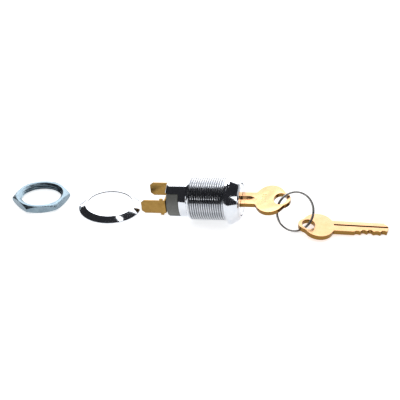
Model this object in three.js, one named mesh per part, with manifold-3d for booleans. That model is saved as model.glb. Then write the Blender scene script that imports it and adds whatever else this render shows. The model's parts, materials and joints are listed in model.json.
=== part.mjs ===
// Keyed switch lock kit: a two-position rotary switch worked by a wafer lock, with its two keys
// on a split ring, its loose panel nut and its loose trim ring. Millimetres, +Z up.
// The lock lies on its side, resting on the flange's rim and on the thread's rear end.
import * as THREE from "three";
import { mergeVertices } from "three/addons/utils/BufferGeometryUtils.js";
import Module from "manifold-3d";

const wasm = await Module();
wasm.setup();

// ---- driving dimensions: housing (along the axis, lengths start at the terminal block's rear) ----
const gap = 0.3; // clearance that touching pieces keep
const threadRadius = 9.5; // M19 x 1
const threadPitch = 1.0;
const threadDepth = 0.5;
const threadStart = 10.0;
const threadTurns = 16;
const rearEnd = -0.8;
const rearRadius = 8.3;
const shoulderStart = 26.4; // plain shoulder between the thread's last crest and the flange
const shoulderRadius = 9.6;
const flangeStart = 27.2;
const flangeRadius = 11.2;
const flangeRimLength = 1.2;
const faceRadius = 8.2;
const frontEnd = 32.5;
const boreRadius = 6.25;
const chamberRadius = 6.9;
const chamberEnd = 13.5;
const windowHalfHeight = 5.6;
const windowEnd = 5.5; // the window's inner end

// ---- driving dimensions: plug, wafers and key ----
const offTurn = 9; // degrees that the keyway stands off square to the terminals when off
const plugRadius = boreRadius - gap;
const collarLength = 1.2;
const collarRadius = 7.0;
const keywayWidth = 2.6;
const keywayHeight = 8.5;
const waferCount = 5;
const firstWafer = 17.0;
const waferSpacing = 2.9;
const waferThickness = 0.9;
const waferHalfWidth = 2.4;
const waferTravel = 0.8;
const lastWafer = firstWafer + (waferCount - 1) * waferSpacing;
const keyLength = 39.9;
const keyThickness = 2.0;
const keyTip = 14.2;
const bladeHalfWidth = 3.95;
const cutDepths = [1.9, 1.2, 2.0, 1.7, 0.8];
const bowHalfWidth = 9.15;
const bowHalfLength = 6.9;
const noseRadius = 4.6;
const bowMiddle = keyLength - 8.9;
const holeMiddle = keyLength - 4.5;
const grooveLength = 24.2;
const grooveDepth = 0.6;
const grooveSides = [-1.25, -0.15]; // the square groove on the key's first face
const veeHalfWidth = 1.3; // the V groove on its other face

// ---- driving dimensions: switch end ----
const blockRear = 0;
const blockFront = windowEnd - gap;
const terminalThickness = 0.8;
const terminalWidth = 6.35; // quarter-inch push-on tab
const terminalReach = 11.6;
const terminalOffset = 8.3;
const rivetOffset = 4.4;
const rivetHole = 1.3;

// ---- driving dimensions: loose pieces ----
const nutAcrossFlats = 23.0;
const nutThickness = 3.5;
const nutMouthRadius = 10.2; // the bore's countersink where it meets the nut's faces
const nutMouthDepth = 0.75;
const nutPlace = [-75.2, -0.8];
const nutTurn = 20;
const trimOuterRadius = 14.3;
const trimInnerRadius = 10.4;
const trimHeight = 2.4;
const trimPlace = [-42.1, -0.2];
const trimSheet = 0.6;
const ringRadius = 8.58;
const ringWire = [0.8, 1.3]; // radial and axial thickness of the two coils together
const ringCentre = [42.68, 0.17, 8.4];
const ringFacing = 30.0; // degrees that the ring's face is turned from -Y towards +X
const ringLean = 25.3; // degrees that the ring leans back
const spareNose = [44.43, -1.8, 1.63]; // underside of the spare key's nose
const spareTurn = 9.7;
const spareTilt = 2.3;

const roundSteps = 40;
const fineSteps = 48;
const degrees = Math.PI / 180;

// The lock tips until its rim and the rear end of its thread touch the same surface.
const lockTilt = Math.atan((flangeRadius - threadRadius) / (flangeStart - threadStart));
const axisHeight = threadRadius * Math.cos(lockTilt) - threadStart * Math.sin(lockTilt);

// ---- solids ----

// A closed three.js geometry as a manifold-3d solid.
function solid(geometry) {
  const bare = geometry.index ? geometry.toNonIndexed() : geometry.clone();
  bare.deleteAttribute("normal");
  bare.deleteAttribute("uv");
  const merged = mergeVertices(bare, 1e-4);
  const triVerts = new Uint32Array(merged.index.array);
  const vertProperties = merged.attributes.position.array;
  return new wasm.Manifold(new wasm.Mesh({ numProp: 3, vertProperties, triVerts }));
}

// A solid as a flat-shaded three.js geometry.
function geometryOf(body) {
  const mesh = body.getMesh();
  const positions = new THREE.BufferAttribute(new Float32Array(mesh.vertProperties), 3);
  const indexed = new THREE.BufferGeometry().setAttribute("position", positions);
  indexed.setIndex(new THREE.BufferAttribute(new Uint32Array(mesh.triVerts), 1));
  const geometry = indexed.toNonIndexed();
  geometry.computeVertexNormals();
  return geometry;
}

// Revolves [height, radius] points about +Z.
function turnedUp(profile, steps = roundSteps) {
  const points = profile.map(([height, radius]) => new THREE.Vector2(radius, height));
  return new THREE.LatheGeometry(points, steps).rotateX(Math.PI / 2);
}

// Revolves [length, radius] points about the lock's axis, +X.
function turned(profile, steps = roundSteps) {
  return turnedUp(profile, steps).rotateY(Math.PI / 2);
}

// A box between two opposite corners.
function block(low, high) {
  const size = high.map((value, i) => value - low[i]);
  const centre = high.map((value, i) => (value + low[i]) / 2);
  return new THREE.BoxGeometry(...size).translate(...centre);
}

// A plate in the XY plane, from height low to height high.
function plate(shape, low, high, curveSegments = 12) {
  const settings = { depth: high - low, bevelEnabled: false, curveSegments };
  return new THREE.ExtrudeGeometry(shape, settings).translate(0, 0, low);
}

function polygon(points) {
  return new THREE.Shape(points.map(([x, y]) => new THREE.Vector2(x, y)));
}

// A coil spring about the line from start along +Y or +X.
function coil(along, start, length, radius, wire, turns) {
  const stepsPerTurn = 7;
  const path = new THREE.CatmullRomCurve3(
    Array.from({ length: turns * stepsPerTurn + 1 }, (_, i) => {
      const angle = (i / stepsPerTurn) * 2 * Math.PI;
      const advance = (i / (turns * stepsPerTurn)) * length;
      const [u, v] = [radius * Math.cos(angle), radius * Math.sin(angle)];
      const offset = along === "y" ? [u, advance, v] : [advance, u, v];
      return new THREE.Vector3(...start).add(new THREE.Vector3(...offset));
    }),
  );
  const section = new THREE.Shape().absarc(0, 0, wire / 2, 0, 2 * Math.PI);
  const settings = { steps: turns * stepsPerTurn, curveSegments: 2, extrudePath: path };
  return new THREE.ExtrudeGeometry(section, settings);
}

function piece(name, geometry, [color, roughness, metalness]) {
  const material = new THREE.MeshStandardMaterial({ color, roughness, metalness });
  const mesh = new THREE.Mesh(geometry, material);
  mesh.name = name;
  return mesh;
}

const chrome = [0xd8dade, 0.12, 1];
const zinc = [0xa9bccb, 0.35, 1];
const brass = [0xb08c4b, 0.32, 1];
const keyBrass = [0xf0d49a, 0.28, 1];
const steel = [0x9a9b9d, 0.25, 1];
const phenolic = [0x6a6c68, 0.6, 0];
const blackPlastic = [0x141414, 0.5, 0];

// ---- housing ----

function threadProfile() {
  const crest = threadRadius;
  const root = threadRadius - threadDepth;
  const points = [];
  for (let turn = 0; turn < threadTurns; turn += 1) {
    const start = threadStart + turn * threadPitch;
    points.push([start, crest], [start + threadPitch / 2, root]);
  }
  points.push([threadStart + threadTurns * threadPitch, crest]);
  return points;
}

function housing() {
  const counterbore = collarRadius + gap;
  const lipRadius = 5.9;
  const lipEnd = blockRear - gap;
  const crimp = 0.9; // how far the crimped rear edge is drawn in
  const crimpLength = 1.3;
  const faceEdge = 0.6;
  const shell = turned([
    [rearEnd, lipRadius],
    [rearEnd, rearRadius - crimp],
    [rearEnd + crimpLength, rearRadius],
    [threadStart - 1.1, rearRadius],
    [threadStart - 0.5, threadRadius - threadDepth],
    ...threadProfile(),
    [shoulderStart, shoulderRadius],
    [flangeStart, shoulderRadius],
    [flangeStart, flangeRadius],
    [flangeStart + flangeRimLength, flangeRadius],
    [frontEnd - faceEdge, faceRadius + faceEdge],
    [frontEnd, faceRadius],
    [frontEnd, counterbore],
    [frontEnd - collarLength - gap, counterbore],
    [frontEnd - collarLength - gap, boreRadius],
    [chamberEnd, boreRadius],
    [chamberEnd, chamberRadius],
    [lipEnd, chamberRadius],
    [lipEnd, lipRadius],
    [rearEnd, lipRadius],
  ]);
  const window = block(
    [rearEnd - 1, -flangeRadius, -windowHalfHeight],
    [windowEnd, flangeRadius, windowHalfHeight],
  );
  // Wafers drop into these channels when the key is out, in either position of the plug.
  const channelReach = 7.4;
  const channelHalf = waferHalfWidth + 0.4;
  const channelRear = firstWafer - 1.4;
  const channelFront = lastWafer + 1.4;
  const across = block(
    [channelRear, -channelReach, -channelHalf],
    [channelFront, channelReach, channelHalf],
  );
  const upright = block(
    [channelRear, -channelHalf, -channelReach],
    [channelFront, channelHalf, channelReach],
  );
  across.rotateX(offTurn * degrees);
  upright.rotateX(offTurn * degrees);
  return geometryOf(
    solid(shell).subtract(solid(window)).subtract(solid(across)).subtract(solid(upright)),
  );
}

// ---- plug, wafers, springs and clip, in the keyway's own turned group ----

const clipFront = chamberEnd - gap;
const clipThickness = 0.8;
const tangRear = 9.8;
const tangHalf = [3.2, 1.3];
const plugRear = 11.5;

function plug() {
  const grooveRadius = 4.7;
  const tailRadius = plugRadius - 0.35;
  const body = turned([
    [plugRear, 0],
    [plugRear, tailRadius],
    [clipFront - clipThickness - gap, tailRadius],
    [clipFront - clipThickness - gap, grooveRadius],
    [chamberEnd, grooveRadius],
    [chamberEnd, plugRadius],
    [frontEnd - collarLength, plugRadius],
    [frontEnd - collarLength, collarRadius],
    [frontEnd - 0.2, collarRadius],
    [frontEnd, collarRadius - 0.2],
    [frontEnd, 0],
  ]);
  const [tangWidth, tangHeight] = tangHalf;
  const tang = block([tangRear, -tangWidth, -tangHeight], [plugRear + gap, tangWidth, tangHeight]);
  const keyway = block(
    [keyTip - gap, -keywayHeight / 2, -keywayWidth / 2],
    [frontEnd + 1, keywayHeight / 2, keywayWidth / 2],
  );
  const slotSide = waferHalfWidth + gap;
  const slotHalf = waferThickness / 2 + 0.2;
  const pocketHalf = 0.9;
  let result = solid(body).add(solid(tang)).subtract(solid(keyway));
  for (let i = 0; i < waferCount; i += 1) {
    const middle = firstWafer + i * waferSpacing;
    const slot = block(
      [middle - slotHalf, -collarRadius, -slotSide],
      [middle + slotHalf, collarRadius, slotSide],
    );
    const pocket = block(
      [middle - pocketHalf, -3.9, slotSide - gap],
      [middle + pocketHalf, 1.5, 4.4],
    );
    result = result.subtract(solid(slot)).subtract(solid(pocket));
  }
  // The ward that runs in the key's square groove, in the solid front behind the plug's face.
  const [outer, inner] = grooveSides.map((side) => -side);
  const ward = block(
    [lastWafer + 1, inner + gap, -keywayWidth / 2 - gap],
    [frontEnd - gap, outer - gap, -0.7],
  );
  return geometryOf(result.add(solid(ward)));
}

function wafer(middle) {
  const halfLength = plugRadius - 0.2;
  const [rear, front] = [middle - waferThickness / 2, middle + waferThickness / 2];
  const strip = block([rear, -halfLength, -waferHalfWidth], [front, halfLength, waferHalfWidth]);
  const round = turned([
    [rear, 0],
    [rear, halfLength],
    [front, halfLength],
    [front, 0],
  ]);
  const windowHalf = keyThickness / 2 + gap;
  const window = block(
    [rear - 1, -bladeHalfWidth - gap - waferTravel, -windowHalf],
    [front + 1, bladeHalfWidth + gap, windowHalf],
  );
  const lug = block([rear, -0.4, waferHalfWidth - gap], [front, 0.4, 4.0]);
  return geometryOf(solid(strip).intersect(solid(round)).subtract(solid(window)).add(solid(lug)));
}

function waferSpring(middle) {
  return coil("y", [middle, -3.5, 3.45], 2.6, 0.45, 0.26, 3);
}

function plugClip() {
  const [inner, outer] = [5.0, 6.5];
  const rear = clipFront - clipThickness;
  const washer = turned([
    [rear, inner],
    [rear, outer],
    [clipFront, outer],
    [clipFront, inner],
    [rear, inner],
  ]);
  const mouth = block([rear - 1, -3.4, -8], [clipFront + 1, 3.4, 0]);
  return geometryOf(solid(washer).subtract(solid(mouth)));
}

// ---- switch end ----

const rotorRear = 6.85;
const rotorRadius = 6.5;
const bridgeThickness = 0.8;
const bridgeHalfWidth = 2.1;
const bridgeRear = rotorRear - 0.35;
const slotFloor = 7.85; // the floor of the slot that the bridge sits in

// A plain disc about the axis.
function disc(rear, front, radius, steps) {
  const profile = [
    [rear, 0],
    [rear, radius],
    [front, radius],
    [front, 0],
  ];
  return turned(profile, steps);
}

function rotor() {
  const front = plugRear - gap;
  const slotHalf = bridgeHalfWidth + gap;
  const bridgeSlot = block(
    [rotorRear - 1, -slotHalf, -rotorRadius - 1],
    [slotFloor, slotHalf, rotorRadius + 1],
  );
  const springPocket = disc(slotFloor - 1, slotFloor + 1.15, 1.9, 24);
  const [tangWidth, tangHeight] = tangHalf.map((half) => half + gap);
  const tangSlot = block(
    [tangRear - gap, -tangWidth, -tangHeight],
    [front + 1, tangWidth, tangHeight],
  );
  return geometryOf(
    solid(disc(rotorRear, front, rotorRadius))
      .subtract(solid(bridgeSlot))
      .subtract(solid(springPocket))
      .subtract(solid(tangSlot)),
  );
}

function contactBridge() {
  const front = bridgeRear + bridgeThickness;
  const bar = block(
    [bridgeRear, -bridgeHalfWidth, -rotorRadius],
    [front, bridgeHalfWidth, rotorRadius],
  );
  return geometryOf(solid(bar).intersect(solid(disc(bridgeRear, front, rotorRadius - 0.1))));
}

function contactSpring() {
  return coil("x", [slotFloor - 0.1, 0, 0], 0.85, 1.3, 0.3, 2);
}

function terminalBlock() {
  const inside = solid(disc(blockRear, blockFront, chamberRadius - gap));
  const flush = solid(disc(blockRear, blockFront, rearRadius - 0.1));
  const halfHeight = windowHalfHeight - gap;
  const slab = solid(
    block([blockRear - 1, -rearRadius, -halfHeight], [blockFront + 1, rearRadius, halfHeight]),
  );
  let body = inside.add(flush.intersect(slab));
  for (const side of [-1, 1]) {
    const hole = disc(blockRear - 1, blockFront + 1, rivetHole, 16);
    body = body.subtract(solid(hole.translate(0, side * rivetOffset, 0)));
  }
  return geometryOf(body);
}

// An L of strip: a foot riveted to the block's rear face, and a tab that runs rearwards.
function terminal(side) {
  const footFront = blockRear - gap;
  const footRear = footFront - terminalThickness;
  const footInner = 2.9;
  const inner = terminalOffset - terminalThickness;
  const bend = 0.9;
  const profile = new THREE.Shape();
  profile.moveTo(-terminalReach, inner);
  profile.lineTo(footRear, inner);
  profile.lineTo(footRear, footInner);
  profile.lineTo(footFront, footInner);
  profile.lineTo(footFront, terminalOffset - bend);
  profile.quadraticCurveTo(footFront, terminalOffset, footFront - bend, terminalOffset);
  profile.lineTo(-terminalReach, terminalOffset);
  const strip = plate(profile, -terminalWidth, terminalWidth, 4);
  const half = terminalWidth / 2;
  const shoulder = half + 0.9;
  const [shoulderRear, shoulderFront] = [-2.9, -1.4];
  const [tipWidth, tipLength] = [1.2, 1.5];
  const outline = [
    [-terminalReach, half - tipWidth],
    [-terminalReach + tipLength, half],
    [shoulderRear, half],
    [shoulderRear, shoulder],
    [shoulderFront, shoulder],
    [shoulderFront, half],
    [blockRear + 1, half],
  ];
  const mirrored = outline.map(([x, z]) => [x, -z]).reverse();
  const face = plate(polygon([...outline, ...mirrored].reverse()), -10, 10);
  face.rotateX(Math.PI / 2);
  const hole = disc(footRear - 1, footFront + 1, rivetHole, 16).translate(0, rivetOffset, 0);
  const body = solid(strip).intersect(solid(face)).subtract(solid(hole));
  const geometry = geometryOf(body);
  if (side < 0) geometry.rotateX(Math.PI);
  return geometry;
}

function rivet(side) {
  const head = 1.9;
  const shank = rivetHole - gap;
  const headHeight = 0.6;
  const underHead = blockRear - 2 * gap - terminalThickness;
  const contactRear = blockFront + gap;
  const contactFront = contactRear + 0.65;
  const profile = [
    [underHead - headHeight, 0],
    [underHead - headHeight, head - 0.4],
    [underHead - headHeight / 2, head],
    [underHead, head],
    [underHead, shank],
    [contactRear, shank],
    [contactRear, head],
    [contactFront, head],
    [contactFront, 0],
  ];
  return turned(profile, 16).translate(0, side * rivetOffset, 0);
}

// ---- loose pieces ----

function lockNut() {
  const cornerRadius = nutAcrossFlats / Math.sqrt(3);
  const corners = Array.from({ length: 6 }, (_, i) => {
    const angle = i * 60 * degrees;
    return [cornerRadius * Math.cos(angle), cornerRadius * Math.sin(angle)];
  });
  const hexagon = plate(polygon(corners), 0, nutThickness);
  const flatRadius = nutAcrossFlats / 2 - 0.15;
  const chamfer = (cornerRadius - flatRadius) * 0.55;
  const chamfered = turnedUp([
    [0, 0],
    [0, flatRadius],
    [chamfer, cornerRadius],
    [nutThickness - chamfer, cornerRadius],
    [nutThickness, flatRadius],
    [nutThickness, 0],
  ]);
  const boreMinor = threadRadius - 0.35;
  const boreMajor = threadRadius + 0.15;
  const profile = [
    [-1, 0],
    [-1, nutMouthRadius],
    [0, nutMouthRadius],
    [nutMouthDepth, boreMinor],
  ];
  const turns = 2;
  for (let turn = 0; turn < turns; turn += 1) {
    const start = nutMouthDepth + turn * threadPitch;
    profile.push([start + threadPitch / 2, boreMajor], [start + threadPitch, boreMinor]);
  }
  profile.push(
    [nutThickness, nutMouthRadius],
    [nutThickness + 1, nutMouthRadius],
    [nutThickness + 1, 0],
  );
  const bore = turnedUp(profile);
  return geometryOf(solid(hexagon).intersect(solid(chamfered)).subtract(solid(bore)));
}

function trimRing() {
  const foot = 0.8;
  const skirt = 0.4;
  const lip = 0.7;
  const profile = [
    [0, trimOuterRadius - foot],
    [0, trimOuterRadius],
    [skirt, trimOuterRadius],
    [trimHeight, trimInnerRadius + lip],
    [trimHeight, trimInnerRadius],
    [trimHeight - trimSheet, trimInnerRadius],
    [0, trimOuterRadius - foot],
  ];
  return turnedUp(profile, fineSteps);
}

// A key lying along +X from its tip, bow at the far end, with its cuts on the +Y edge.
// A square groove runs along its upper face and a V groove along its lower face.
function key() {
  const half = keyThickness / 2;
  const cutFlat = 0.45; // half the width of a cut's floor
  const slope = 0.9;
  const bladeEnd = 26;
  const outline = [
    [0, -0.9],
    [1.9, -bladeHalfWidth],
    [bladeEnd, -bladeHalfWidth],
    [bladeEnd, bladeHalfWidth],
  ];
  for (let i = waferCount - 1; i >= 0; i -= 1) {
    const middle = firstWafer - keyTip + i * waferSpacing;
    const depth = cutDepths[i];
    const next = i + 1 < waferCount ? (depth + cutDepths[i + 1]) / 2 : depth / 2;
    const run = i + 1 < waferCount ? waferSpacing / 2 : cutFlat + depth / slope;
    const ridge = Math.max(0, next - slope * (run - cutFlat));
    outline.push([middle + run, bladeHalfWidth - ridge]);
    outline.push([middle + cutFlat, bladeHalfWidth - depth]);
    outline.push([middle - cutFlat, bladeHalfWidth - depth]);
  }
  outline.push([1.3, bladeHalfWidth - cutDepths[0] + 0.6]);
  const blade = plate(polygon(outline), -half, half);
  const lobe = new THREE.Shape();
  lobe.absellipse(bowMiddle, 0, bowHalfLength, bowHalfWidth, 0, 2 * Math.PI);
  const nose = new THREE.Shape().absarc(keyLength - noseRadius, 0, noseRadius, 0, 2 * Math.PI);
  const hole = new THREE.Shape().absellipse(holeMiddle, 0, 2.9, 3.8, 0, 2 * Math.PI);
  const [low, high] = grooveSides;
  const groove = block([-1, low, half - grooveDepth], [grooveLength, high, half + 1]);
  const section = polygon([
    [-2 * veeHalfWidth, -half - grooveDepth],
    [2 * veeHalfWidth, -half - grooveDepth],
    [0, grooveDepth - half],
  ]);
  const across = new THREE.Vector3(0, 1, 0);
  const up = new THREE.Vector3(0, 0, 1);
  const along = new THREE.Vector3(1, 0, 0);
  const vee = plate(section, -1, grooveLength);
  vee.applyMatrix4(new THREE.Matrix4().makeBasis(across, up, along));
  return geometryOf(
    solid(blade)
      .add(solid(plate(lobe, -half, half, 20)))
      .add(solid(plate(nose, -half, half, 14)))
      .subtract(solid(plate(hole, -half - 1, half + 1, 12)))
      .subtract(solid(groove))
      .subtract(solid(vee)),
  );
}

// The two coils of the split ring as one flat-sided hoop about +Z.
function splitRing() {
  const [radial, axial] = ringWire;
  const [inner, outer] = [ringRadius - radial / 2, ringRadius + radial / 2];
  const [side, edge] = [axial / 2, 0.2];
  const profile = [
    [side, inner + edge],
    [side - edge, inner],
    [edge - side, inner],
    [-side, inner + edge],
    [-side, outer - edge],
    [edge - side, outer],
    [side - edge, outer],
    [side, outer - edge],
    [side, inner + edge],
  ];
  return turnedUp(profile, fineSteps);
}

// ---- assembly ----

const lock = new THREE.Group();
lock.rotation.y = -lockTilt;
lock.position.z = axisHeight;
lock.position.x = -chamberEnd * Math.cos(lockTilt);
lock.add(
  piece("housing", housing(), chrome),
  piece("terminal_block", terminalBlock(), phenolic),
  piece("terminal_near", terminal(-1), brass),
  piece("terminal_far", terminal(1), brass),
  piece("rivet_near", rivet(-1), brass),
  piece("rivet_far", rivet(1), brass),
);

const turning = new THREE.Group();
turning.rotation.x = offTurn * degrees;
turning.add(
  piece("plug", plug(), chrome),
  piece("plug_clip", plugClip(), steel),
  piece("rotor", rotor(), blackPlastic),
  piece("contact_bridge", contactBridge(), brass),
  piece("contact_spring", contactSpring(), steel),
);
for (let i = 0; i < waferCount; i += 1) {
  const middle = firstWafer + i * waferSpacing;
  turning.add(piece(`wafer_${i + 1}`, wafer(middle), brass));
  turning.add(piece(`wafer_spring_${i + 1}`, waferSpring(middle), steel));
}
const insertedKey = piece("key", key(), keyBrass);
insertedKey.position.x = keyTip;
insertedKey.rotation.x = Math.PI;
turning.add(insertedKey);
lock.add(turning);

const nut = piece("lock_nut", lockNut(), zinc);
nut.position.set(...nutPlace, 0);
nut.rotation.z = nutTurn * degrees;

const trim = piece("trim_ring", trimRing(), chrome);
trim.position.set(...trimPlace, 0);

const ring = piece("split_ring", splitRing(), steel);
ring.rotation.set((90 - ringLean) * degrees, 0, ringFacing * degrees, "ZYX");
ring.position.set(...ringCentre);

// The spare key lies nose up on the ring's wire, with its tip on the surface.
const spare = new THREE.Group();
const spareKey = piece("spare_key", key(), keyBrass);
spareKey.rotation.z = Math.PI;
spareKey.position.set(keyLength, 0, keyThickness / 2);
spare.add(spareKey);
spare.rotation.set(0, spareTilt * degrees, spareTurn * degrees, "ZYX");
spare.position.set(...spareNose);

const kit = new THREE.Group();
kit.add(lock, nut, trim, ring, spare);
kit.updateMatrixWorld(true);
const bounds = new THREE.Box3().setFromObject(kit, true);
const middle = bounds.getCenter(new THREE.Vector3());
kit.position.set(-middle.x, -middle.y, -bounds.min.z);

export default kit;
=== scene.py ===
# Looks of the keyed switch lock kit: finer meshes, finishes, studio and camera round the CAD frame.
# Shapes are built in millimetres in their own local frames, then placed in the row frame in metres.
import json
import math

import bmesh
import bpy
from mathutils import Matrix, Vector


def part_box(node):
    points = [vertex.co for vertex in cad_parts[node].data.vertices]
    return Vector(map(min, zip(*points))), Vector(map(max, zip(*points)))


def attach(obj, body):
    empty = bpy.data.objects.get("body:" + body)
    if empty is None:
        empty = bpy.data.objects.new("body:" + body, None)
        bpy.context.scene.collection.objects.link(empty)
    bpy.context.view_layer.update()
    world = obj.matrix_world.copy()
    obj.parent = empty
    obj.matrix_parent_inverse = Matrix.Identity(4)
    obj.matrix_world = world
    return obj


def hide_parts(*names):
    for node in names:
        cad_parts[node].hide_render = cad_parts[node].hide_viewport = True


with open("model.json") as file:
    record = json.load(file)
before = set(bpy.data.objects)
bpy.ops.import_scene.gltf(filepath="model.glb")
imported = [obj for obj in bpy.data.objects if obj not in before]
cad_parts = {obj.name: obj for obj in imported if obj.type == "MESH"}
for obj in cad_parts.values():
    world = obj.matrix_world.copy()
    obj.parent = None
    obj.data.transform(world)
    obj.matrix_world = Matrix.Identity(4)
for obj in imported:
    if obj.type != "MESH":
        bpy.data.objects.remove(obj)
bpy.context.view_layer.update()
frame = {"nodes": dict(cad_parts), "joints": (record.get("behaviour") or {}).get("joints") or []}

MM = 0.001
NODES = frame["nodes"]
JOINTS = {joint["name"]: joint for joint in frame["joints"]}

# ---- driving dimensions, in millimetres along the lock's axis from the terminal block's rear ----
PIVOT_ALONG = 20.0  # where the record states the plug's hinge
OFF_TURN = 9.0  # degrees
REAR_END = -0.8
REAR_RADIUS = 8.3
THREAD_RADIUS = 9.5
THREAD_PITCH = 1.0
THREAD_DEPTH = 0.5
THREAD_CREST = 0.2  # the share of the pitch that is crest
THREAD_ROOT = 0.05  # the share that is root
THREAD_START = 9.7
THREAD_END = 26.2
SHOULDER_RADIUS = 9.6
FLANGE_START = 27.2
FLANGE_RADIUS = 11.2
FLANGE_RIM = 1.2
FACE_RADIUS = 8.2
FRONT_END = 32.5
BORE_RADIUS = 6.25
CHAMBER_RADIUS = 6.9
CHAMBER_END = 13.5
COUNTERBORE = 7.3
COUNTERBORE_DEPTH = 1.5
LIP_RADIUS = 5.9
LIP_LENGTH = 0.5
WINDOW_HALF = 5.6
WINDOW_END = 5.5
WAFER_COUNT = 5
FIRST_WAFER = 17.0
WAFER_SPACING = 2.9
CHANNEL_REACH = 7.4
CHANNEL_HALF = 2.8
CHANNEL_SPARE = 1.4

KEY_TIP = 14.2
KEY_LENGTH = 39.9
KEY_HALF_THICKNESS = 1.0
BLADE_HALF_WIDTH = 3.95
CUT_DEPTHS = [1.9, 1.2, 2.0, 1.7, 0.8]
CUT_FLAT = 0.45
CUT_SLOPE = 0.9
BOW_MIDDLE = KEY_LENGTH - 8.9
BOW_HALF_LENGTH = 6.9
BOW_HALF_WIDTH = 9.15
NOSE_RADIUS = 4.6
HOLE_MIDDLE = KEY_LENGTH - 4.5
HOLE_HALF = (2.9, 3.8)
GROOVE_END = 24.2
GROOVE_LOW = -1.25
GROOVE_HIGH = -0.15
GROOVE_DEPTH = 0.6
VEE_HALF_WIDTH = 1.3
VEE_RUN_OUT = 3.0
BAR_COUNT = 4  # plain bars stamped in the bow
BAR_SPACING = 1.5
BAR_LENGTH = 1.7
BAR_WIDTH = 0.5
BAR_DEPTH = 0.1

NUT_ACROSS_FLATS = 23.0
NUT_THICKNESS = 3.5
NUT_TURN = 20.0
NUT_MOUTH = 10.2
NUT_MOUTH_DEPTH = 0.75
TRIM_OUTER = 14.3
TRIM_INNER = 10.4
TRIM_HEIGHT = 2.4
TRIM_SHEET = 0.6
RING_RADIUS = 8.58
RING_WIRE = (0.8, 0.62)
RING_COIL_STEP = 0.66
SPARE_FROM_RING = Vector((1.75, -1.97, -6.77))
SPARE_TURN = 9.7
SPARE_TILT = 2.3


# ---- local frames ----

def framed(origin, along, across, normal):
    """Takes millimetres in a local frame to metres in the row frame."""
    made = Matrix((along, across, normal)).transposed().to_4x4() @ Matrix.Scale(MM, 4)
    made.translation = origin
    return made


def turned_about(axis, degrees):
    return Matrix.Rotation(math.radians(degrees), 4, axis)


axis = Vector(JOINTS["plug_turn"]["axis"]).normalized()
side = Vector((0, 1, 0))
pivot = Vector(JOINTS["plug_turn"]["pos_m"])
LOCK = framed(pivot - axis * PIVOT_ALONG * MM, axis, side, axis.cross(side))
TURNED = LOCK @ turned_about("X", OFF_TURN)
KEY = TURNED @ Matrix.Translation((KEY_TIP, 0, 0)) @ turned_about("X", 180)

ring_centre = Vector(JOINTS["spare_key_swing"]["pos_m"])
ring_normal = Vector(JOINTS["spare_key_swing"]["axis"]).normalized()
ring_across = ring_normal.orthogonal().normalized()
RING = framed(ring_centre, ring_across, ring_normal.cross(ring_across), ring_normal)
SPARE = (
    Matrix.Translation(ring_centre)
    @ Matrix.Scale(MM, 4)
    @ Matrix.Translation(SPARE_FROM_RING)
    @ turned_about("Z", SPARE_TURN)
    @ turned_about("Y", SPARE_TILT)
    @ Matrix.Translation((KEY_LENGTH, 0, KEY_HALF_THICKNESS))
    @ turned_about("Z", 180)
)


def upright(node):
    """The frame of a loose piece that stands on the floor: its axis up through its middle."""
    low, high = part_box(node)
    middle = (low + high) / 2
    return Matrix.Translation((middle.x, middle.y, low.z)) @ Matrix.Scale(MM, 4)


NUT = upright("lock_nut") @ turned_about("Z", NUT_TURN)
TRIM = upright("trim_ring")


# ---- mesh tools ----

def made(name, verts, faces):
    """A closed mesh object from points and faces, with doubles merged and faces pointing out."""
    mesh = bpy.data.meshes.new(name)
    mesh.from_pydata(verts, [], faces)
    obj = bpy.data.objects.new(name, mesh)
    bpy.context.scene.collection.objects.link(obj)
    cleaned(obj)
    return obj


def cleaned(obj, flat=0.0):
    """Merges doubles and turns the faces out; flat, in degrees, also joins faces that are level."""
    bm = bmesh.new()
    bm.from_mesh(obj.data)
    bmesh.ops.remove_doubles(bm, verts=bm.verts, dist=0.002)
    bmesh.ops.dissolve_degenerate(bm, edges=bm.edges, dist=0.0005)
    if flat:
        bmesh.ops.dissolve_limit(
            bm, angle_limit=math.radians(flat), verts=bm.verts, edges=bm.edges
        )
    bmesh.ops.recalc_face_normals(bm, faces=bm.faces)
    bm.to_mesh(obj.data)
    bm.free()


def rounded(points, radius, closed=True, steps=3):
    """Rounds each corner of a profile with a short curve."""
    result = []
    count = len(points)
    for i, point in enumerate(points):
        p = Vector(point)
        if not closed and i in (0, count - 1):
            result.append(tuple(p))
            continue
        before = Vector(points[i - 1]) - p
        after = Vector(points[(i + 1) % count]) - p
        bend = math.pi - before.angle(after)
        if bend < math.radians(8):
            result.append(tuple(p))
            continue
        reach = min(radius * math.tan(bend / 2), before.length * 0.45, after.length * 0.45)
        start, end = p + before.normalized() * reach, p + after.normalized() * reach
        for step in range(steps + 1):
            t = step / steps
            result.append(tuple(start * (1 - t) ** 2 + p * 2 * t * (1 - t) + end * t**2))
    return result


def revolved(name, profile, steps, closed=True, radius_of=None, upward=False):
    """Turns [along, radius] points about +X, or about +Z when upward. radius_of changes a radius by angle."""
    verts, faces = [], []
    for along, radius in profile:
        for k in range(steps):
            angle = 2 * math.pi * k / steps
            r = radius_of(along, radius, angle) if radius_of else radius
            u, v = r * math.cos(angle), r * math.sin(angle)
            verts.append((u, v, along) if upward else (along, u, v))
    rings = len(profile)
    for i in range(rings if closed else rings - 1):
        j = (i + 1) % rings
        for k in range(steps):
            n = (k + 1) % steps
            faces.append((i * steps + k, i * steps + n, j * steps + n, j * steps + k))
    return made(name, verts, faces)


def extruded(name, outline, low, high):
    """A plate with a straight-edged outline in XY, from height low to height high."""
    count = len(outline)
    verts = [(x, y, low) for x, y in outline] + [(x, y, high) for x, y in outline]
    faces = [tuple(range(count)), tuple(range(count, 2 * count))]
    for i in range(count):
        j = (i + 1) % count
        faces.append((i, j, count + j, count + i))
    return made(name, verts, faces)


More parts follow.
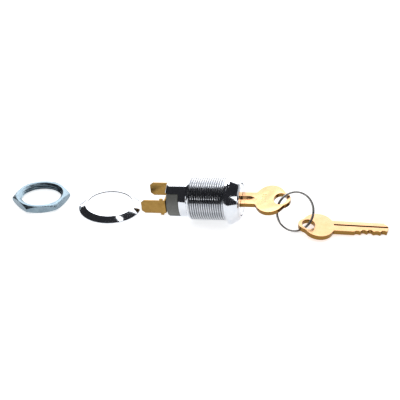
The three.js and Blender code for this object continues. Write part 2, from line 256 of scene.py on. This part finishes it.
def box(low, high):
    outline = [(low[0], low[1]), (high[0], low[1]), (high[0], high[1]), (low[0], high[1])]
    return extruded("box", outline, low[2], high[2])


def wound(name, angles, radius, height_of, half_radial, half_axial, squareness, sides):
    """A wire wound about +Z: its section is carried round the angles, and both ends are closed."""
    verts, faces = [], []
    for angle in angles:
        for k in range(sides):
            t = 2 * math.pi * k / sides
            c, s = math.cos(t), math.sin(t)
            out = radius + half_radial * math.copysign(abs(c) ** squareness, c)
            up = height_of(angle) + half_axial * math.copysign(abs(s) ** squareness, s)
            verts.append((out * math.cos(angle), out * math.sin(angle), up))
    for i in range(len(angles) - 1):
        for k in range(sides):
            n = (k + 1) % sides
            a, b = i * sides, (i + 1) * sides
            faces.append((a + k, a + n, b + n, b + k))
    last = (len(angles) - 1) * sides
    faces += [tuple(range(sides)), tuple(range(last, last + sides))]
    return made(name, verts, faces)


def baked(obj):
    """Applies an object's modifiers to its mesh."""
    depsgraph = bpy.context.evaluated_depsgraph_get()
    mesh = bpy.data.meshes.new_from_object(obj.evaluated_get(depsgraph))
    obj.modifiers.clear()
    obj.data = mesh
    return obj


def combined(obj, others, operation="DIFFERENCE"):
    """Cuts the other solids from obj, or joins or intersects them with it, and removes them."""
    for other in others:
        modifier = obj.modifiers.new("solid", "BOOLEAN")
        modifier.operation = operation
        modifier.object = other
        modifier.solver = "MANIFOLD"
        baked(obj)
        bpy.data.objects.remove(other)
    return obj


def softened(obj, width, least=35.0, where=None, segments=2):
    """Rounds the edges that are sharper than least degrees, where the test on their middle says so."""
    cleaned(obj, flat=0.6)
    bm = bmesh.new()
    bm.from_mesh(obj.data)
    edges = [
        edge
        for edge in bm.edges
        if edge.is_manifold
        and edge.calc_face_angle() > math.radians(least)
        and (where is None or where((edge.verts[0].co + edge.verts[1].co) / 2))
    ]
    bmesh.ops.bevel(
        bm,
        geom=edges,
        offset=width,
        offset_type="OFFSET",
        segments=segments,
        profile=0.5,
        affect="EDGES",
        clamp_overlap=True,
    )
    bm.to_mesh(obj.data)
    bm.free()
    return obj


def copied(node, into):
    """A CAD node's shape as a mesh of its own in the millimetres of the frame into."""
    mesh = NODES[node].data.copy()
    obj = bpy.data.objects.new(node + "_copy", mesh)
    bpy.context.scene.collection.objects.link(obj)
    mesh.transform(into.inverted())
    if "custom_normal" in mesh.attributes:
        mesh.attributes.remove(mesh.attributes["custom_normal"])
    cleaned(obj, flat=0.6)
    return obj


def placed(obj, name, matrix, body, nodes, slot, sharp=32.0, finish=None):
    """Puts a finished piece in the row frame on its body, in place of its CAD nodes, with its finish."""
    obj.name = name
    obj.data.transform(matrix)
    obj.data.shade_smooth()
    obj.data.set_sharp_from_angle(angle=math.radians(sharp))
    obj.data.materials.clear()
    obj.data.materials.append(finish or FINISHES[slot])
    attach(obj, body)
    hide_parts(*nodes)
    return obj


# ---- finishes ----

class Finish:
    """A Principled material whose textures follow the piece, in metres."""

    def __init__(self, name, metallic):
        self.material = bpy.data.materials.new(name)
        self.material.use_nodes = True
        self.nodes = self.material.node_tree.nodes
        self.links = self.material.node_tree.links
        self.shader = self.nodes["Principled BSDF"]
        self.shader.inputs["Metallic"].default_value = metallic
        self.place = self.nodes.new("ShaderNodeTexCoord").outputs["Object"]

    def noise(self, size_mm, detail=4.0, stretch=(1, 1, 1)):
        """Cloudy values from 0 to 1 in patches of about size_mm, longer where stretch is under 1."""
        mapping = self.nodes.new("ShaderNodeMapping")
        mapping.inputs["Scale"].default_value = stretch
        texture = self.nodes.new("ShaderNodeTexNoise")
        texture.inputs["Scale"].default_value = 1 / (size_mm * MM)
        texture.inputs["Detail"].default_value = detail
        self.links.new(self.place, mapping.inputs["Vector"])
        self.links.new(mapping.outputs["Vector"], texture.inputs["Vector"])
        return texture.outputs["Fac"]

    def spread(self, value, low, high, start=0.3, end=0.7):
        """Maps a texture value to the range low to high."""
        node = self.nodes.new("ShaderNodeMapRange")
        node.inputs["From Min"].default_value = start
        node.inputs["From Max"].default_value = end
        node.inputs["To Min"].default_value = low
        node.inputs["To Max"].default_value = high
        self.links.new(value, node.inputs["Value"])
        return node.outputs["Result"]

    def colour(self, value, first, second):
        """Blends two colours by a texture value, and returns the blend."""
        node = self.nodes.new("ShaderNodeMix")
        node.data_type = "RGBA"
        node.inputs["A"].default_value = (*first, 1)
        node.inputs["B"].default_value = (*second, 1)
        self.links.new(self.spread(value, 0, 1), node.inputs["Factor"])
        return node.outputs["Result"]

    def over(self, value, below, colour):
        """Lays one more colour over a blend where a value is high."""
        node = self.nodes.new("ShaderNodeMix")
        node.data_type = "RGBA"
        node.inputs["B"].default_value = (*colour, 1)
        self.links.new(below, node.inputs["A"])
        self.links.new(value, node.inputs["Factor"])
        return node.outputs["Result"]

    def sloped_face_shade(self):
        """0 on the faces that lie flat in the row frame, rising to 1 on those that slope or stand."""
        place = self.nodes.new("ShaderNodeTexCoord")
        parts = self.nodes.new("ShaderNodeSeparateXYZ")
        size = self.nodes.new("ShaderNodeMath")
        size.operation = "ABSOLUTE"
        self.links.new(place.outputs["Normal"], parts.inputs["Vector"])
        self.links.new(parts.outputs["Z"], size.inputs[0])
        return self.spread(size.outputs["Value"], 1.0, 0.0, 0.75, 0.95)

    def from_axis(self, start, along):
        """How far a point lies along a line in the row frame, and how far from it, in metres."""
        offset = self.vector_step("SUBTRACT", self.place, start)
        ahead = self.vector_step("DOT_PRODUCT", offset, along)
        across = self.vector_step("CROSS_PRODUCT", offset, along)
        length = self.nodes.new("ShaderNodeVectorMath")
        length.operation = "LENGTH"
        self.links.new(across, length.inputs[0])
        return ahead, length.outputs["Value"]

    def vector_step(self, operation, value, other):
        """One step of vector arithmetic with a fixed second vector."""
        node = self.nodes.new("ShaderNodeVectorMath")
        node.operation = operation
        node.inputs[1].default_value = other
        self.links.new(value, node.inputs[0])
        return node.outputs["Value" if operation == "DOT_PRODUCT" else "Vector"]

    def product(self, first, *others):
        """All the values multiplied."""
        for other in others:
            node = self.nodes.new("ShaderNodeMath")
            node.operation = "MULTIPLY"
            self.links.new(first, node.inputs[0])
            self.links.new(other, node.inputs[1])
            first = node.outputs["Value"]
        return first

    def paint(self, colour=None, roughness=None, bumps=()):
        """Links the blend, the roughness and the surface's fine relief to the shader."""
        if colour:
            self.links.new(colour, self.shader.inputs["Base Color"])
        if roughness:
            self.links.new(roughness, self.shader.inputs["Roughness"])
        normal = None
        for value, depth_mm, strength in bumps:
            bump = self.nodes.new("ShaderNodeBump")
            bump.inputs["Distance"].default_value = depth_mm * MM
            bump.inputs["Strength"].default_value = strength
            self.links.new(value, bump.inputs["Height"])
            if normal:
                self.links.new(normal, bump.inputs["Normal"])
            normal = bump.outputs["Normal"]
        if normal:
            self.links.new(normal, self.shader.inputs["Normal"])
        return self.material


CHROME = ((0.74, 0.76, 0.80), (0.66, 0.69, 0.74))


def chrome():
    """Bright plate over zinc casting: slight waves in the casting, faint smears."""
    finish = Finish("bright_chrome", 1.0)
    smears = finish.noise(3.0)
    tint = finish.colour(smears, *CHROME)
    rough = finish.spread(smears, 0.05, 0.11)
    waves = finish.noise(4.0, detail=1.0)
    grain = finish.noise(0.12, detail=2.0)
    return finish.paint(tint, rough, [(waves, 0.03, 0.3), (grain, 0.004, 0.25)])


def threaded_chrome():
    """The barrel's plate, with painted shade that greys it towards the roots of the thread."""
    finish = Finish("barrel_chrome", 1.0)
    smears = finish.noise(3.0)
    tint = finish.colour(smears, *CHROME)
    along, out = finish.from_axis(pivot - axis * PIVOT_ALONG * MM, axis)
    root = (THREAD_RADIUS - THREAD_DEPTH) * MM
    deep = finish.spread(out, 1.0, 0.25, root, (THREAD_RADIUS - 0.05) * MM)
    outside = finish.spread(out, 0.0, 1.0, root - 0.3 * MM, root - 0.1 * MM)
    ahead = finish.spread(along, 0.0, 1.0, THREAD_START * MM, (THREAD_START + 0.3) * MM)
    behind = finish.spread(along, 1.0, 0.0, (THREAD_END - 0.3) * MM, THREAD_END * MM)
    # Painted shade: the colour darkens into the thread's roots, where shade falls, and the roughness rises
    # there too.
    painted_root_shade = finish.product(deep, outside, ahead, behind)
    tint = finish.over(painted_root_shade, tint, (0.24, 0.245, 0.26))
    rough = finish.spread(painted_root_shade, 0.08, 0.42, 0.2, 1.0)
    waves = finish.noise(4.0, detail=1.0)
    return finish.paint(tint, rough, [(waves, 0.03, 0.25)])


def lip_shaded_chrome():
    """The trim ring's plate, with painted shade as a thin dark band on the lip round its hole."""
    finish = Finish("trim_chrome", 1.0)
    smears = finish.noise(3.0)
    tint = finish.colour(smears, *CHROME)
    height, out = finish.from_axis(TRIM.to_translation(), Vector((0, 0, 1)))
    # Painted shade: a thin dark band on the sheet's edge round the hole, where the lip is seen in shade.
    cut = finish.spread(out, 1.0, 0.0, (TRIM_INNER + 0.03) * MM, (TRIM_INNER + 0.16) * MM)
    tint = finish.over(cut, tint, (0.13, 0.13, 0.135))
    skirt = finish.spread(height, 1.0, 0.0, 0.1 * MM, 0.35 * MM)
    rough = finish.spread(skirt, 0.10, 0.24, 0.0, 1.0)
    waves = finish.noise(4.0, detail=1.0)
    return finish.paint(tint, rough, [(waves, 0.03, 0.25)])


def zinc():
    """Blue-white zinc plate over turned and stamped steel."""
    finish = Finish("blue_zinc", 1.0)
    patches = finish.noise(2.5)
    tint = finish.colour(patches, (0.25, 0.335, 0.39), (0.18, 0.245, 0.30))
    bloom = finish.spread(finish.noise(0.9), 0.0, 0.45, 0.5, 0.8)
    tint = finish.over(bloom, tint, (0.35, 0.42, 0.46))
    rough = finish.spread(finish.noise(1.2), 0.26, 0.38)
    tooling = finish.noise(0.25, stretch=(0.12, 0.12, 1))
    return finish.paint(tint, rough, [(tooling, 0.008, 0.3)])


def tab_brass():
    """Stamped brass strip, slightly dull, with rolling lines along it."""
    finish = Finish("strip_brass", 1.0)
    patches = finish.noise(2.2)
    tint = finish.colour(patches, (0.37, 0.225, 0.066), (0.29, 0.17, 0.046))
    tarnish = finish.spread(finish.noise(0.8), 0.0, 0.5, 0.52, 0.8)
    tint = finish.over(tarnish, tint, (0.20, 0.11, 0.03))
    lines = finish.noise(0.3, stretch=(0.05, 1, 1))
    rough = finish.spread(lines, 0.26, 0.42)
    return finish.paint(tint, rough, [(lines, 0.01, 0.35)])


def key_brass():
    """Tumbled pale brass, with painted shade that darkens every face that slopes or stands."""
    finish = Finish("pale_brass", 1.0)
    patches = finish.noise(3.5)
    tint = finish.colour(patches, (0.60, 0.355, 0.195), (0.54, 0.31, 0.155))
    tarnish = finish.spread(finish.noise(0.6), 0.0, 0.35, 0.55, 0.8)
    tint = finish.over(tarnish, tint, (0.42, 0.25, 0.09))
    # Painted shade: the key's edges, cut flanks and groove walls are coloured dark brown by which way they
    # face.
    tint = finish.over(finish.sloped_face_shade(), tint, (0.25, 0.135, 0.035))
    rough = finish.spread(finish.noise(1.0), 0.16, 0.28)
    tumbling = finish.noise(0.2, detail=3.0)
    dents = finish.noise(1.6, detail=1.0)
    return finish.paint(tint, rough, [(tumbling, 0.006, 0.3), (dents, 0.02, 0.25)])


def wire_steel(name, light, dark):
    """Drawn wire or blanked spring strip with fine drawing lines."""
    finish = Finish(name, 1.0)
    patches = finish.noise(1.5)
    tint = finish.colour(patches, light, dark)
    rough = finish.spread(finish.noise(0.5), 0.24, 0.40)
    lines = finish.noise(0.1, detail=2.0)
    return finish.paint(tint, rough, [(lines, 0.004, 0.3)])


def insulator():
    """Grey moulded phenolic with a filler's speckle."""
    finish = Finish("grey_phenolic", 0.0)
    speckle = finish.noise(0.35, detail=6.0)
    tint = finish.colour(speckle, (0.095, 0.097, 0.088), (0.140, 0.142, 0.132))
    flecks = finish.spread(finish.noise(0.15), 0.0, 0.6, 0.62, 0.75)
    tint = finish.over(flecks, tint, (0.22, 0.22, 0.205))
    rough = finish.spread(finish.noise(1.5), 0.42, 0.6)
    return finish.paint(tint, rough, [(speckle, 0.02, 0.35)])


def black_moulding():
    """Black moulded phenolic."""
    finish = Finish("black_phenolic", 0.0)
    speckle = finish.noise(0.3, detail=5.0)
    tint = finish.colour(speckle, (0.012, 0.012, 0.013), (0.030, 0.029, 0.028))
    rough = finish.spread(finish.noise(1.2), 0.35, 0.5)
    return finish.paint(tint, rough, [(speckle, 0.015, 0.3)])


FINISHES = {
    "chrome": chrome(),
    "zinc_plate": zinc(),
    "tab_brass": tab_brass(),
    "key_brass": key_brass(),
    "ring_steel": wire_steel("nickel_wire", (0.36, 0.35, 0.34), (0.25, 0.245, 0.24)),
    "spring_steel": wire_steel("spring_wire", (0.55, 0.55, 0.57), (0.42, 0.42, 0.44)),
    "insulator": insulator(),
    "black_moulding": black_moulding(),
}


# ---- the lock ----

def thread_depth(along, angle, start, end, run_out=1.0):
    """How deep the thread's V is at a point, from 0 on its crest to 1 in its root."""
    turn = ((along - start) / THREAD_PITCH - angle / (2 * math.pi)) % 1.0
    vee = 1 - abs(2 * turn - 1)
    vee = min(1.0, max(0.0, (vee - THREAD_CREST) / (1 - THREAD_CREST - THREAD_ROOT)))
    fade = min(1.0, max(0.0, (end - along) / run_out))
    return vee * fade


def barrel_radius(along, radius, angle):
    """The outer wall's radius where the thread runs, and the plain radius elsewhere."""
    outside = radius > THREAD_RADIUS - 0.01 and THREAD_START < along < THREAD_END
    if not outside:
        return radius
    cut = THREAD_DEPTH * thread_depth(along, angle, THREAD_START, THREAD_END)
    lead_in = THREAD_RADIUS - THREAD_DEPTH + (along - THREAD_START) * 0.9
    return min(radius - cut, max(lead_in, THREAD_RADIUS - THREAD_DEPTH))


def housing():
    rows = 10
    count = round((THREAD_END - THREAD_START) * rows)
    thread = [(THREAD_START + 0.05 + i / rows, THREAD_RADIUS) for i in range(count)]
    outside = [
        (REAR_END, REAR_RADIUS - 0.9),
        (REAR_END + 0.35, REAR_RADIUS - 0.35),
        (REAR_END + 1.3, REAR_RADIUS),
        (THREAD_START - 1.0, REAR_RADIUS),
        (THREAD_START - 0.5, THREAD_RADIUS - THREAD_DEPTH - 0.15),
        (THREAD_START, THREAD_RADIUS - THREAD_DEPTH),
    ]
    flange = [
        (THREAD_END + 0.2, SHOULDER_RADIUS),
        (FLANGE_START, SHOULDER_RADIUS),
        (FLANGE_START, FLANGE_RADIUS),
        (FLANGE_START + FLANGE_RIM, FLANGE_RADIUS),
        (FRONT_END - 0.6, FACE_RADIUS + 0.8),
        (FRONT_END, FACE_RADIUS),
        (FRONT_END, COUNTERBORE),
    ]
    inside = [
        (FRONT_END - COUNTERBORE_DEPTH, COUNTERBORE),
        (FRONT_END - COUNTERBORE_DEPTH, BORE_RADIUS),
        (CHAMBER_END, BORE_RADIUS),
        (CHAMBER_END, CHAMBER_RADIUS),
        (REAR_END + LIP_LENGTH, CHAMBER_RADIUS),
        (REAR_END + LIP_LENGTH, LIP_RADIUS),
        (REAR_END, LIP_RADIUS),
    ]
    profile = (
        rounded([inside[-1], *outside], 0.3, closed=False)[1:]
        + thread
        + rounded([thread[-1], *flange, inside[0]], 0.22, closed=False)[1:-1]
        + inside
    )
    shell = revolved("housing", profile, 144, radius_of=barrel_radius)
    window = box((REAR_END - 1, -12, -WINDOW_HALF), (WINDOW_END, 12, WINDOW_HALF))
    cutters = [window]
    rear = FIRST_WAFER - CHANNEL_SPARE
    front = FIRST_WAFER + (WAFER_COUNT - 1) * WAFER_SPACING + CHANNEL_SPARE
    for reach, half in ((CHANNEL_REACH, CHANNEL_HALF), (CHANNEL_HALF, CHANNEL_REACH)):
        channel = box((rear, -reach, -half), (front, reach, half))
        channel.data.transform(turned_about("X", OFF_TURN))
        cutters.append(channel)
    combined(shell, cutters)
    softened(shell, 0.14, least=40, where=lambda p: p.x < WINDOW_END + 0.5)
    plate = threaded_chrome()
    return placed(shell, "housing_shell", LOCK, "lock_body", ["housing"], "chrome", finish=plate)


def switch_end():
    block = softened(copied("terminal_block", LOCK), 0.18)
    placed(block, "terminal_carrier", LOCK, "lock_body", ["terminal_block"], "insulator")
    for name in ("near", "far"):
        tab = softened(copied("terminal_" + name, LOCK), 0.13, least=40)
        placed(tab, "push_on_tab_" + name, LOCK, "lock_body", ["terminal_" + name], "tab_brass")
        head = softened(copied("rivet_" + name, LOCK), 0.1, least=40)
        placed(head, "tab_rivet_" + name, LOCK, "lock_body", ["rivet_" + name], "tab_brass")


def turning_parts():
    core = softened(copied("plug", TURNED), 0.12, least=50, where=lambda p: p.x > FRONT_END - 0.5)
    placed(core, "plug_core", TURNED, "plug", ["plug"], "chrome")
    for node, name, slot in (
        ("plug_clip", "retaining_clip", "spring_steel"),
        ("rotor", "switch_rotor", "black_moulding"),
        ("contact_bridge", "bridge_contact", "tab_brass"),
    ):
        part = softened(copied(node, TURNED), 0.08, least=40)
        placed(part, name, TURNED, "plug", [node], slot)
    for i in range(1, WAFER_COUNT + 1):
        leaf = softened(copied(f"wafer_{i}", TURNED), 0.06, least=40)
        placed(leaf, f"wafer_leaf_{i}", TURNED, f"wafer_{i}", [f"wafer_{i}"], "tab_brass")


def spring(node, name, axis_name, turns, wire):
    """A coil spring with the length and diameter of its CAD node."""
    shape = copied(node, TURNED)
    corners = [Vector(c) for c in shape.bound_box]
    low = Vector([min(c[i] for c in corners) for i in range(3)])
    high = Vector([max(c[i] for c in corners) for i in range(3)])
    bpy.data.objects.remove(shape)
    along = "xyz".index(axis_name)
    across = 2
    radius = (high[across] - low[across]) / 2 - wire / 2
    length = high[along] - low[along] - wire
    steps = turns * 24
    angles = [2 * math.pi * turns * i / steps for i in range(steps + 1)]
    climb = length / (2 * math.pi * turns)
    coil = wound(name, angles, radius, lambda a: a * climb - length / 2, wire / 2, wire / 2, 1.0, 10)
    facing = turned_about("Y", 90) if axis_name == "x" else turned_about("X", -90)
    coil.data.transform(Matrix.Translation((low + high) / 2) @ facing)
    return placed(coil, name, TURNED, "plug", [node], "spring_steel", sharp=60)


# ---- keys ----

def smooth_max(a, b, blend):
    """The larger of two widths, with the corner between them filled in."""
    near = max(blend - abs(a - b), 0) / blend
    return max(a, b) + near * near * blend / 4


def ellipse_half(x, middle, half_length, half_width):
    t = (x - middle) / half_length
    return half_width * math.sqrt(max(0.0, 1 - t * t))


def bow_half(x):
    """Half the key's width at x, from its neck to the end of its nose."""
    lobe = ellipse_half(x, BOW_MIDDLE, BOW_HALF_LENGTH, BOW_HALF_WIDTH)
    nose = ellipse_half(x, KEY_LENGTH - NOSE_RADIUS, NOSE_RADIUS, NOSE_RADIUS)
    neck = BLADE_HALF_WIDTH if x < BOW_MIDDLE else 0.0
    return smooth_max(smooth_max(lobe, neck, 1.2), nose, 1.0)


def key_outline():
    turn_in = KEY_LENGTH - NOSE_RADIUS
    flat = [20.5 + 0.3 * i for i in range(round((turn_in - 20.5) / 0.3))]
    tip = [turn_in + NOSE_RADIUS * math.sin(math.radians(4 * i)) for i in range(23)]
    bow = [(x, bow_half(x)) for x in [*flat, *tip]]
    lower = [(x, -y) for x, y in bow]
    outline = [(0.0, -0.9), (0.4, -1.9), (1.9, -BLADE_HALF_WIDTH), *lower]
    outline += [(KEY_LENGTH, 0.0), *reversed(bow)]
    for i in range(WAFER_COUNT - 1, -1, -1):
        middle = FIRST_WAFER - KEY_TIP + i * WAFER_SPACING
        depth = CUT_DEPTHS[i]
        last = i + 1 == WAFER_COUNT
        between = depth / 2 if last else (depth + CUT_DEPTHS[i + 1]) / 2
        run = CUT_FLAT + depth / CUT_SLOPE if last else WAFER_SPACING / 2
        ridge = max(0.0, between - CUT_SLOPE * (run - CUT_FLAT))
        outline.append((middle + run, BLADE_HALF_WIDTH - ridge))
        outline.append((middle + CUT_FLAT, BLADE_HALF_WIDTH - depth))
        outline.append((middle - CUT_FLAT, BLADE_HALF_WIDTH - depth))
    outline.append((1.3, BLADE_HALF_WIDTH - CUT_DEPTHS[0] + 0.6))
    outline.append((0.25, 0.2))
    return outline


def vee_groove():
    """The V groove under the key's lower face, which runs out to a point towards the bow."""
    half = KEY_HALF_THICKNESS
    start, end = -1.0, GROOVE_END + 1.0
    verts = []
    for x, reach in ((start, 1.0), (end - VEE_RUN_OUT, 1.0), (end, 0.0)):
        wide = VEE_HALF_WIDTH * reach
        verts += [(x, -wide, -half), (x, 0, -half + GROOVE_DEPTH * reach), (x, wide, -half)]
        verts += [(x, wide, -half - 1), (x, -wide, -half - 1)]
    faces = [tuple(range(5)), tuple(range(10, 15))]
    for row in (0, 5):
        for k in range(5):
            n = (k + 1) % 5
            faces.append((row + k, row + n, row + 5 + n, row + 5 + k))
    return made("vee", verts, faces)


def key(name, matrix, body, node):
    """A flat key with a square groove on its upper face, and a V groove and four plain bars under it."""
    half = KEY_HALF_THICKNESS
    blank = extruded(name, key_outline(), -half, half)
    ellipse = [
        (
            HOLE_MIDDLE + HOLE_HALF[0] * math.cos(2 * math.pi * i / 48),
            HOLE_HALF[1] * math.sin(2 * math.pi * i / 48),
        )
        for i in range(48)
    ]
    hole = extruded("hole", ellipse, -half - 1, half + 1)
    groove = box((-1, GROOVE_LOW, half - GROOVE_DEPTH), (GROOVE_END, GROOVE_HIGH, half + 1))
    cutters = [hole, groove, vee_groove()]
    for i in range(BAR_COUNT):
        x, y = BOW_MIDDLE - 3.6, -2.7 + BAR_SPACING * i
        cutters.append(box((x, y, -half - 1), (x + BAR_LENGTH, y + BAR_WIDTH, BAR_DEPTH - half)))
    combined(blank, cutters)
    softened(blank, 0.13, least=38, segments=3)
    return placed(blank, name, matrix, body, [node], "key_brass", sharp=23)


# ---- split ring, nut and trim ring ----

def split_ring():
    """Two coils of flattened wire side by side, which cross over between the wire's two ends."""
    jog = math.radians(16)
    start, end = jog, 4 * math.pi - jog
    steps = 260

    def height(angle):
        t = min(1.0, max(0.0, (angle - 2 * math.pi + jog) / (2 * jog)))
        return RING_COIL_STEP * (t * t * (3 - 2 * t) - 0.5)

    angles = [start + (end - start) * i / steps for i in range(steps + 1)]
    half_radial, half_axial = RING_WIRE[0] / 2, RING_WIRE[1] / 2
    wire = wound("ring", angles, RING_RADIUS, height, half_radial, half_axial, 0.62, 16)
    return placed(wire, "key_ring", RING, "split_ring", ["split_ring"], "ring_steel", sharp=60)


def nut():
    corner = NUT_ACROSS_FLATS / math.sqrt(3)
    outline = [
        (corner * math.cos(math.radians(60 * i)), corner * math.sin(math.radians(60 * i)))
        for i in range(6)
    ]
    body = extruded("nut", outline, 0, NUT_THICKNESS)
    flat = NUT_ACROSS_FLATS / 2 - 0.15
    drop = (corner - flat) * 0.55
    crown = revolved(
        "crown",
        [
            (0, 0),
            (0, flat),
            (drop, corner),
            (NUT_THICKNESS - drop, corner),
            (NUT_THICKNESS, flat),
            (NUT_THICKNESS, 0),
        ],
        96,
        closed=False,
        upward=True,
    )
    combined(body, [crown], "INTERSECT")
    minor, major = THREAD_RADIUS - 0.35, THREAD_RADIUS + 0.15
    rows = 12
    count = round(NUT_THICKNESS * rows)
    bore_profile = [(-1, 0), (-1, NUT_MOUTH + 0.5)]
    bore_profile += [(NUT_THICKNESS * i / count, minor) for i in range(count + 1)]
    bore_profile += [(NUT_THICKNESS + 1, NUT_MOUTH + 0.5), (NUT_THICKNESS + 1, 0)]

    def bore_radius(along, radius, angle):
        if radius == 0 or not 0 <= along <= NUT_THICKNESS:
            return radius
        thread = major - (major - minor) * thread_depth(along, angle, 0, NUT_THICKNESS + 2)
        depth = min(along, NUT_THICKNESS - along)
        mouth = NUT_MOUTH - (NUT_MOUTH - minor) * depth / NUT_MOUTH_DEPTH
        return max(thread, mouth)

    bore = revolved("bore", bore_profile, 120, closed=False, radius_of=bore_radius, upward=True)
    combined(body, [bore])
    outside = NUT_MOUTH + 0.4
    softened(body, 0.1, least=18, where=lambda p: math.hypot(p.x, p.y) > outside)
    return placed(body, "panel_nut", NUT, "lock_nut", ["lock_nut"], "zinc_plate", sharp=28)


def trim_ring():
    """A pressed sheet cone with a short skirt and a turned-in lip."""
    profile = rounded(
        [
            (0, TRIM_OUTER - 0.55),
            (0, TRIM_OUTER),
            (0.45, TRIM_OUTER),
            (TRIM_HEIGHT - 0.12, TRIM_INNER + 0.95),
            (TRIM_HEIGHT, TRIM_INNER + 0.5),
            (TRIM_HEIGHT, TRIM_INNER),
            (TRIM_HEIGHT - TRIM_SHEET, TRIM_INNER),
            (TRIM_HEIGHT - TRIM_SHEET - 0.1, TRIM_INNER + 0.6),
        ],
        0.25,
        steps=4,
    )
    cone = revolved("trim", profile, 160, upward=True)
    plate = lip_shaded_chrome()
    return placed(
        cone, "trim_cone", TRIM, "trim_ring", ["trim_ring"], "chrome", sharp=50, finish=plate
    )


housing()
switch_end()
turning_parts()
for i in range(1, WAFER_COUNT + 1):
    spring(f"wafer_spring_{i}", f"wafer_coil_{i}", "y", 3, 0.26)
spring("contact_spring", "contact_coil", "x", 2, 0.3)
key("inserted_key", KEY, "key", "key")
key("second_key", SPARE, "spare_key", "spare_key")
split_ring()
nut()
trim_ring()


# ---- studio ----

VIEW_ELEVATION = 31.3  # degrees
VIEW_AZIMUTH = 12.0
VIEW_DISTANCE = 0.393
VIEW_LENS = 79.3
VIEW_DROP = 0.00067  # the frame's middle lies this far under the lock's middle
MIDDLE_ALONG = 13.5


def direction(azimuth, elevation):
    a, e = math.radians(azimuth), math.radians(elevation)
    return Vector((math.sin(a) * math.cos(e), -math.cos(a) * math.cos(e), math.sin(e)))


def camera():
    back = direction(VIEW_AZIMUTH, VIEW_ELEVATION)
    turn = (-back).to_track_quat("-Z", "Y")
    middle = pivot + axis * (MIDDLE_ALONG - PIVOT_ALONG) * MM
    data = bpy.data.cameras.new("camera")
    data.lens = VIEW_LENS
    data.sensor_width = 36.0
    data.clip_start = 0.01
    obj = bpy.data.objects.new("camera", data)
    obj.location = middle + back * VIEW_DISTANCE - (turn @ Vector((0, 1, 0))) * VIEW_DROP
    obj.rotation_mode = "QUATERNION"
    obj.rotation_quaternion = turn
    bpy.context.scene.collection.objects.link(obj)
    bpy.context.scene.camera = obj


def plain(name, colour, strength=0.0, roughness=0.8):
    """A plain stage material, which glows when strength is above 0."""
    material = bpy.data.materials.new(name)
    material.use_nodes = True
    shader = material.node_tree.nodes["Principled BSDF"]
    shader.inputs["Base Color"].default_value = (*colour, 1)
    shader.inputs["Roughness"].default_value = roughness
    shader.inputs["Specular IOR Level"].default_value = 0.1
    shader.inputs["Emission Color"].default_value = (*colour, 1)
    shader.inputs["Emission Strength"].default_value = strength
    return material


def stage_patch(name, distance, azimuths, elevations, material):
    steps = 12
    verts, faces = [], []
    for i in range(steps + 1):
        elevation = elevations[0] + (elevations[1] - elevations[0]) * i / steps
        for j in range(steps + 1):
            azimuth = azimuths[0] + (azimuths[1] - azimuths[0]) * j / steps
            verts.append(direction(azimuth, elevation) * distance)
    row = steps + 1
    for i in range(steps):
        for j in range(steps):
            a = i * row + j
            faces.append((a, a + 1, a + row + 1, a + row))
    mesh = bpy.data.meshes.new(name)
    mesh.from_pydata(verts, [], faces)
    mesh.materials.append(material)
    obj = bpy.data.objects.new(name, mesh)
    bpy.context.scene.collection.objects.link(obj)
    obj.visible_camera = False
    obj.visible_diffuse = False
    obj.visible_shadow = False
    obj.visible_transmission = False
    return obj


def studio():
    world = bpy.data.worlds.new("studio")
    world.use_nodes = True
    sky = world.node_tree.nodes["Background"]
    sky.inputs["Color"].default_value = (0.97, 0.985, 1.0, 1)
    sky.inputs["Strength"].default_value = 0.55
    bpy.context.scene.world = world
    bpy.context.scene.view_settings.view_transform = "Standard"

    floor_half = 2.0
    mesh = bpy.data.meshes.new("floor")
    corners = [(-1, -1), (1, -1), (1, 1), (-1, 1)]
    verts = [(x * floor_half, y * floor_half, -0.00002) for x, y in corners]
    mesh.from_pydata(verts, [], [(0, 1, 2, 3)])
    mesh.materials.append(plain("white_floor", (0.92, 0.92, 0.92), strength=0.66))
    floor = bpy.data.objects.new("floor", mesh)
    bpy.context.scene.collection.objects.link(floor)

    dark = plain("dark_card", (0.022, 0.022, 0.025))
    stage_patch("dark_front", 0.9, (-80, 100), (1, 97), dark)
    stage_patch("dark_left", 0.9, (-140, -80), (1, 88), dark)
    stage_patch("dark_right", 0.9, (100, 155), (18, 88), dark)
    back = plain("back_box", (1, 1, 1), strength=1.55)
    stage_patch("back_box", 0.85, (140, 232), (3, 52), back)
    bright = plain("high_box", (1, 1, 1), strength=3.2)
    stage_patch("high_box", 0.84, (140, 232), (52, 83), bright)
    lamp = plain("soft_box", (1, 1, 1), strength=1.6)
    stage_patch("top_box", 0.8, (75, 105), (69, 81), lamp)
    strip = plain("strip_box", (1, 1, 1), strength=1.2)
    stage_patch("right_box", 0.8, (57, 69), (14, 32), strip)

    data = bpy.data.lights.new("key_light", "AREA")
    data.energy = 4.0
    data.size = 1.6
    light = bpy.data.objects.new("key_light", data)
    light.location = direction(170, 78) * 1.2
    light.visible_glossy = False
    light.rotation_mode = "QUATERNION"
    light.rotation_quaternion = (-light.location).to_track_quat("-Z", "Y")
    bpy.context.scene.collection.objects.link(light)


camera()
studio()
